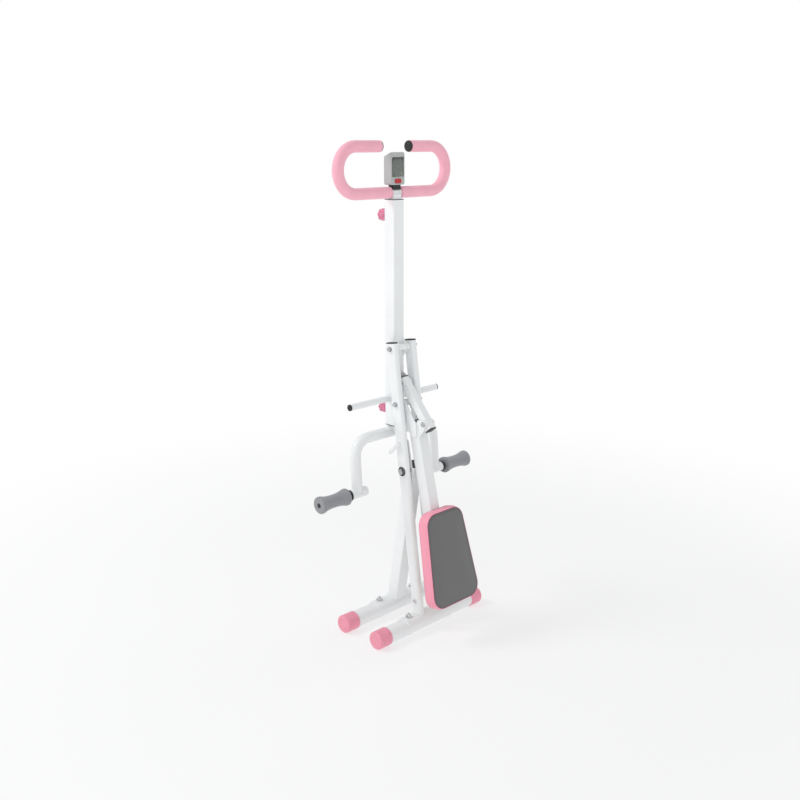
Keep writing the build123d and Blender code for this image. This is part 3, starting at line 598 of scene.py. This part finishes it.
def cushion():
    """Padded seat: crowned panel, border, bulging side band and a pocket for the board."""
    shoulder = 4.5 * MM
    swell = 2.4 * MM
    side_inset = 0.9 * MM
    pocket_inset = 9.9 * MM
    bulge_power = 0.8
    crown_height, crown_power = 2.6 * MM, 2.4
    face = PAD_FACE - 2.2 * MM
    panel = face + 0.1 * MM
    pocket_middle = BOARD_FACE + 0.4 * MM
    back = PAD_BACK
    rings, zones = [], []

    def add_ring(inset, out, zone):
        rings.append([seat_point(a, b, out) for a, b in seat_outline(inset)])
        zones.append(zone)

    add_ring(pocket_inset + 1 * MM, pocket_middle, "dust")
    add_ring(pocket_inset, BOARD_FACE + 0.2 * MM, "dust")
    add_ring(pocket_inset, back + 1.2 * MM, "side")
    add_ring(pocket_inset - 1.2 * MM, back, "side")
    add_ring(3.5 * MM, back, "side")
    add_ring(1.6 * MM, back + 0.9 * MM, "side")
    held_rings = len(rings) + 1
    levels = 9
    side_low, side_high = back + 3 * MM, face - shoulder
    for k in range(levels):
        share = k / (levels - 1)
        bulge = swell * sin(pi * share) ** bulge_power
        add_ring(side_inset + swell - bulge, side_low + (side_high - side_low) * share, "side")
    shoulder_steps = 6
    for k in range(1, shoulder_steps + 1):
        turn = pi / 2 * k / shoulder_steps
        add_ring(side_inset + swell + (BORDER - 1.0 * MM) * (1 - cos(turn)),
                 side_high + shoulder * sin(turn), "side")
    seam = len(rings)
    panel_inset = BORDER + 4.6 * MM
    add_ring(BORDER + 3.4 * MM, face - 1.3 * MM, "panel")
    add_ring(panel_inset, panel, "panel")
    base = seat_outline(panel_inset)
    steps = 16
    for k in range(1, steps):
        share = 1 - k / steps
        crown = crown_height * (1 - share ** crown_power)
        rings.append([seat_point(a * share, b * share, panel + crown) for a, b in base])
        zones.append("panel")
    count = len(rings[0])
    vertices = [point for ring in rings for point in ring]
    faces, face_zones = [], []
    for ring in range(len(rings) - 1):
        for k in range(count):
            beside = (k + 1) % count
            faces.append((ring * count + k, ring * count + beside,
                          (ring + 1) * count + beside, (ring + 1) * count + k))
            face_zones.append(zones[ring + 1] if zones[ring] != "dust" else "dust")
    vertices.append(seat_point(0, 0, face + 2.7 * MM))
    vertices.append(seat_point(0, 0, pocket_middle))
    top, bottom = len(vertices) - 2, len(vertices) - 1
    last = (len(rings) - 1) * count
    for k in range(count):
        beside = (k + 1) % count
        faces.append((last + k, last + beside, top))
        face_zones.append("panel")
        faces.append((beside, k, bottom))
        face_zones.append("dust")
    piece = new_object("seat_cushion", vertices, faces, "seat_arm", "seat_cover",
                       "seat_cover", "seat_panel", "dust_cover")
    index_of = {"side": 0, "panel": 1, "dust": 2}
    for polygon, zone in zip(piece.data.polygons, face_zones):
        polygon.material_index = index_of[zone]
    held = [*range(held_rings * count), bottom]
    seam_points = range((seam - 1) * count, (seam + 1) * count)
    inflate(piece, held, seam_points)
    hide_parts("seat_pad")
    return piece, count, seam


def inflate(piece, held, seam_points):
    """Cloth simulation under pressure, whose small capped shifts are smoothed and then kept."""
    seam_hold = 0.92
    frames = 20
    cap = 2.5 * MM
    smoothing_passes = 25
    own_share, neighbour_share = 0.4, 0.6
    start = [vertex.co.copy() for vertex in piece.data.vertices]
    group = piece.vertex_groups.new(name="held")
    group.add(held, 1.0, "REPLACE")
    group.add(list(seam_points), seam_hold, "REPLACE")
    cloth = piece.modifiers.new("swell", "CLOTH")
    cloth.settings.vertex_group_mass = "held"
    cloth.settings.quality = 6
    cloth.settings.mass = 0.35
    cloth.settings.tension_stiffness = 25
    cloth.settings.compression_stiffness = 25
    cloth.settings.bending_stiffness = 6
    cloth.settings.use_pressure = True
    cloth.settings.uniform_pressure_force = 2.2
    cloth.settings.effector_weights.gravity = 0
    cloth.collision_settings.use_self_collision = False
    for step in range(1, frames + 1):
        bpy.context.scene.frame_set(step)
    graph = bpy.context.evaluated_depsgraph_get()
    settled = piece.evaluated_get(graph).to_mesh()
    moved = [vertex.co.copy() for vertex in settled.vertices]
    piece.evaluated_get(graph).to_mesh_clear()
    piece.modifiers.remove(cloth)
    bpy.context.scene.frame_set(1)
    shifts = [after - before for before, after in zip(start, moved)]
    shifts = [shift * min(1.0, cap / max(shift.length, 1e-9)) for shift in shifts]
    beside = [[] for _ in shifts]
    for edge in piece.data.edges:
        first, second = edge.vertices
        beside[first].append(second)
        beside[second].append(first)
    fixed = set(held) | set(seam_points)
    for _ in range(smoothing_passes):
        shifts = [shift if index in fixed else
                  own_share * shift
                  + neighbour_share * sum((shifts[other] for other in beside[index]), Vector())
                  / len(beside[index])
                  for index, shift in enumerate(shifts)]
    for vertex, before, shift in zip(piece.data.vertices, start, shifts):
        vertex.co = before + shift
    piece.vertex_groups.clear()
    piece.data.update()


def seat_trim(piece, count, seam):
    """Welt in the seam between border and panel, and a row of stitches inside it."""
    welt_rise, welt_radius = 0.9 * MM, 1.15 * MM
    places = [vertex.co.copy() for vertex in piece.data.vertices]
    groove = places[seam * count:(seam + 1) * count]
    welt = [point + welt_rise * SEAT_OUT for point in resample(groove, 2.0 * MM, True)]
    vertices, faces = tube_rings(welt, [welt_radius] * len(welt), sides=10, closed=True,
                                 normal_hint=SEAT_OUT)
    new_object("seat_welt", vertices, faces, "seat_arm", "seat_cover", "seam_cord")
    surface = BVHTree.FromPolygons(places, [tuple(polygon.vertices) for polygon in piece.data.polygons])
    vertices, faces = join_shells(stitches(surface))
    new_object("seat_stitches", vertices, faces, "seat_arm", "seat_cover", "thread")


def stitches(surface):
    """Short arched threads in a row on the cushion's face."""
    pitch, length = 4.4 * MM, 3.1 * MM
    rise, radius = 0.28 * MM, 0.36 * MM
    spans_in_stitch = 6
    line = [seat_point(a, b, PAD_FACE + 10 * MM) for a, b in seat_outline(BORDER + 8.5 * MM)]
    row = resample(line, pitch, True)
    shells = []
    for index, point in enumerate(row):
        hit, _, _, _ = surface.ray_cast(point, -SEAT_OUT)
        if hit is None:
            continue
        along = (row[(index + 1) % len(row)] - row[index - 1]).normalized()
        path = [hit + along * length * (k / spans_in_stitch - 0.5)
                + SEAT_OUT * rise * sin(pi * k / spans_in_stitch)
                for k in range(spans_in_stitch + 1)]
        radii = [radius * (0.45 + 0.55 * sin(pi * (k + 0.5) / (spans_in_stitch + 1)))
                 for k in range(spans_in_stitch + 1)]
        shells.append(tube_rings(path, radii, sides=6, closed=False, normal_hint=SEAT_OUT))
    return shells


# ------------------------------------------------------------------ small details
def box_shell(low, high, bevel):
    """Vertices and faces of a box whose four edges along X are rounded."""
    middle_y, middle_z = (low.y + high.y) / 2, (low.z + high.z) / 2
    outline = rounded_outline((high.y - low.y) / 2, (high.z - low.z) / 2, bevel, 5)
    count = len(outline)
    vertices = [Vector((x, middle_y + a, middle_z + b)) for x in (low.x, high.x) for a, b in outline]
    faces = [(k, (k + 1) % count, count + (k + 1) % count, count + k) for k in range(count)]
    faces += [tuple(reversed(range(count))), tuple(range(count, 2 * count))]
    return vertices, faces


def display_details():
    """Dark strip along the top of the display that paints the shade of the display's recess, and unlit digit
    segments on the display, under the window.
    """
    low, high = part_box("computer_screen")
    top = high.x + 0.15 * MM
    # Painted shadow: a black box across the top of the display stands for the shade in its recess.
    margin, shadow_strip_height = 0.5 * MM, 6.5 * MM
    shadow_strip_low = Vector((high.x - margin, low.y + margin, high.z - shadow_strip_height))
    shadow_strip_high = Vector((top + 0.3 * MM, high.y - margin, high.z - margin))
    vertices, faces = box_shell(shadow_strip_low, shadow_strip_high, 0.3 * MM)
    new_object("display_shadow_strip", vertices, faces, "handlebar", "black_plastic", "black_plastic")
    digits, first_digit, digit_pitch = 4, 4.0, 9.2
    height, width, bar = 17 * MM, 6.5 * MM, 1.1 * MM
    base_z = low.z + 16 * MM
    shells = []
    for index in range(digits):
        left = low.y + (first_digit + index * digit_pitch) * MM
        places = [(left, base_z, width, bar), (left, base_z + height / 2, width, bar),
                  (left, base_z + height, width, bar)]
        for side in (left - bar, left + width):
            places += [(side, base_z + bar, bar, height / 2 - bar),
                       (side, base_z + height / 2 + bar, bar, height / 2 - bar)]
        for y, z, wide, tall in places:
            segment_low = Vector((high.x - 0.3 * MM, y, z))
            segment_high = Vector((top, y + wide, z + tall))
            shells.append(box_shell(segment_low, segment_high, 0.25 * MM))
    vertices, faces = join_shells(shells)
    new_object("display_segments", vertices, faces, "handlebar", "display", "segments")


def screw_heads():
    """Cross-headed screws that hold the two halves of the computer's case together."""
    low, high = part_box("computer_back")
    shells = []
    side_margin, bottom_margin, top_margin = 7 * MM, 8 * MM, 20 * MM
    for y in (low.y + side_margin, high.y - side_margin):
        for z in (low.z + bottom_margin, high.z - top_margin):
            shells.append(screw_head(Vector((low.x + 0.1 * MM, y, z))))
    vertices, faces = join_shells(shells)
    new_object("computer_screws", vertices, faces, "handlebar", "zinc_fastener", "zinc_fastener")


def screw_head(spot, radius=2.4 * MM, rise=0.7 * MM, sides=32):
    """Domed head with a cross recess, facing -X."""
    slot_half, slot_depth, slot_reach = 0.35 * MM, 0.5 * MM, 0.62 * radius
    rings = 7
    vertices, faces = [], []
    for ring in range(rings):
        share = 1 - ring / rings
        for side in range(sides):
            turn = 2 * pi * side / sides
            reach = radius * share
            in_slot = min(abs(cos(turn)), abs(sin(turn))) * reach < slot_half and reach < slot_reach
            height = rise * (1 - share ** 2) - (slot_depth if in_slot else 0.0)
            vertices.append(spot + Vector((-height, reach * cos(turn), reach * sin(turn))))
    vertices.append(spot + Vector((-rise + slot_depth, 0, 0)))
    for ring in range(rings - 1):
        for side in range(sides):
            beside = (side + 1) % sides
            faces.append((ring * sides + side, (ring + 1) * sides + side,
                          (ring + 1) * sides + beside, ring * sides + beside))
    last = (rings - 1) * sides
    for side in range(sides):
        faces.append((last + side, rings * sides, last + (side + 1) % sides))
    faces.append(tuple(range(sides)))
    return vertices, faces


def ring_band(point, axis, hint, profile, sides=56):
    """Closed band turned about an axis: profile is (radius, distance along the axis) pairs."""
    first = axis.cross(hint).normalized()
    second = axis.cross(first)
    count = len(profile)
    vertices, faces = [], []
    for side in range(sides):
        turn = 2 * pi * side / sides
        spoke = cos(turn) * first + sin(turn) * second
        vertices += [point + radius * spoke + along * axis for radius, along in profile]
    for side in range(sides):
        beside = (side + 1) % sides
        for k in range(count):
            ahead = (k + 1) % count
            faces.append((side * count + k, side * count + ahead,
                          beside * count + ahead, beside * count + k))
    return vertices, faces


def half_round(inner, outer, foot, rise, steps=8):
    """Profile of a band with a rounded top, standing on the plane at foot."""
    middle, half = (inner + outer) / 2, (outer - inner) / 2
    return [(middle + half * cos(pi * k / steps), foot + rise * sin(pi * k / steps))
            for k in range(steps + 1)]


def ring_pair(name, body, slot, middle, ends, profile, facing=1):
    """A ring on each of two faces across Y, which face outwards, or inwards where facing is -1."""
    shells = []
    for sign, y in zip((-1, 1), ends):
        spot = Vector((middle.x, y, middle.z))
        shells.append(ring_band(spot, Y * sign * facing, Z, profile))
    vertices, faces = join_shells(shells)
    new_object(name, vertices, faces, body, slot, slot)


def pivot_rings():
    """Dark plastic ring around each bolt head of the frame pivot."""
    washer_face = 49.1 * MM
    profile = half_round(9.9 * MM, 13.8 * MM, 0.05 * MM, 1.5 * MM)
    ring_pair("pivot_seal_rings", "rear_frame", "black_plastic", FRAME_PIVOT,
              (-washer_face, washer_face), profile)


def cap_rims():
    """Shallow moulded ring on the end face of each rubber foot cap."""
    profile = half_round(14.5 * MM, 17.0 * MM, -0.1 * MM, 0.7 * MM)
    for foot, node, body in ((REAR_FOOT, "rear_foot_caps", "rear_frame"),
                             (FRONT_FOOT, "front_foot_caps", "front_frame")):
        low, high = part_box(node)
        ring_pair(f"{node}_rims", body, "pink_foot_rubber", foot, (low.y, high.y), profile)


def plug_rims():
    """Moulded ring on the face of each black plug of the band bar and the handlebar grips."""
    low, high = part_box("band_bar_caps")
    ring_pair("band_bar_cap_rims", "post", "black_plastic", BAND_BAR, (low.y, high.y),
              half_round(4.0 * MM, 5.6 * MM, -0.1 * MM, 0.5 * MM))
    plug_face = 54 * MM
    ring_pair("grip_plug_rims", "handlebar", "black_plastic", centre("grip_plugs"),
              (-plug_face, plug_face), half_round(8.0 * MM, 10.4 * MM, -0.1 * MM, 0.7 * MM), facing=-1)


# ------------------------------------------------------------------ stage, light and camera
def stage():
    """Pale floor that fades to even white away from the object."""
    mesh = bpy.data.meshes.new("floor")
    size = 40.0
    mesh.from_pydata([(-size, -size, 0), (size, -size, 0), (size, size, 0), (-size, size, 0)], [],
                     [(0, 1, 2, 3)])
    floor = bpy.data.objects.new("floor", mesh)
    bpy.context.scene.collection.objects.link(floor)
    shade = Shader("pale_floor", (0.90, 0.90, 0.90), 0.75, Specular_IOR_Level=0.1)
    shade.roughness(shade.noise(3.0), 0.70, 0.80)
    distance = shade.add("ShaderNodeVectorMath", operation="LENGTH")
    shade.join(shade.place, distance, 0)
    fade = shade.add("ShaderNodeMapRange", interpolation_type="SMOOTHSTEP")
    fade.inputs["From Min"].default_value = 0.8
    fade.inputs["From Max"].default_value = 2.4
    fade.inputs["To Min"].default_value = 0.60
    shade.join(distance.outputs["Value"], fade, "Value")
    glow = shade.add("ShaderNodeEmission", Strength=1.0)
    blend = shade.add("ShaderNodeMixShader")
    shade.join(fade.outputs["Result"], blend, 0)
    shade.join(shade.surface.outputs["BSDF"], blend, 1)
    shade.join(glow.outputs["Emission"], blend, 2)
    output = next(node for node in shade.tree.nodes if node.type == "OUTPUT_MATERIAL")
    shade.join(blend.outputs["Shader"], output, "Surface")
    mesh.materials.append(shade.done())


def light():
    """White backdrop, soft ambient light and three softboxes."""
    world = bpy.data.worlds.new("studio")
    bpy.context.scene.world = world
    world.use_nodes = True
    tree = world.node_tree
    ambient = tree.nodes["Background"]
    ambient.inputs["Color"].default_value = (0.97, 0.985, 1.0, 1)
    ambient.inputs["Strength"].default_value = 0.62
    backdrop = tree.nodes.new("ShaderNodeBackground")
    backdrop.inputs["Color"].default_value = (1, 1, 1, 1)
    path = tree.nodes.new("ShaderNodeLightPath")
    choose = tree.nodes.new("ShaderNodeMixShader")
    tree.links.new(path.outputs["Is Camera Ray"], choose.inputs[0])
    tree.links.new(ambient.outputs[0], choose.inputs[1])
    tree.links.new(backdrop.outputs[0], choose.inputs[2])
    output = next(node for node in tree.nodes if node.type == "OUTPUT_WORLD")
    tree.links.new(choose.outputs[0], output.inputs["Surface"])
    softbox("key", (-2.4, -2.6, 4.0), 1.6, 84.0)
    softbox("front", (2.6, -3.4, 2.0), 2.2, 26.0)
    softbox("rim", (0.6, 3.2, 3.2), 2.0, 14.0)


LIGHT_TARGET = Vector((0, 0, 0.6))


def softbox(name, place, size, power):
    """Square area light aimed a little below the middle of the object."""
    data = bpy.data.lights.new(name, "AREA")
    data.size = size
    data.energy = power
    lamp = bpy.data.objects.new(name, data)
    lamp.location = place
    lamp.rotation_euler = (LIGHT_TARGET - Vector(place)).to_track_quat("-Z", "Y").to_euler()
    bpy.context.scene.collection.objects.link(lamp)


def camera():
    """Camera on the seat's side, towards -Y, level with the object's top and looking down."""
    data = bpy.data.cameras.new("camera")
    data.lens = 43.98
    data.sensor_width = 36.0
    eye = bpy.data.objects.new("camera", data)
    eye.location = (1.9092, -1.9591, 1.4284)
    eye.rotation_euler = (radians(75.106), 0, radians(45.51))
    bpy.context.scene.collection.objects.link(eye)
    bpy.context.scene.camera = eye
    settings = bpy.context.scene.view_settings
    settings.view_transform = "Standard"
    settings.look = "None"


camera()
light()
stage()
dress_cad_nodes()
frame_welds()
post_welds()
pedal_welds()
display_details()
screw_heads()
pivot_rings()
cap_rims()
plug_rims()
seat_trim(*cushion())
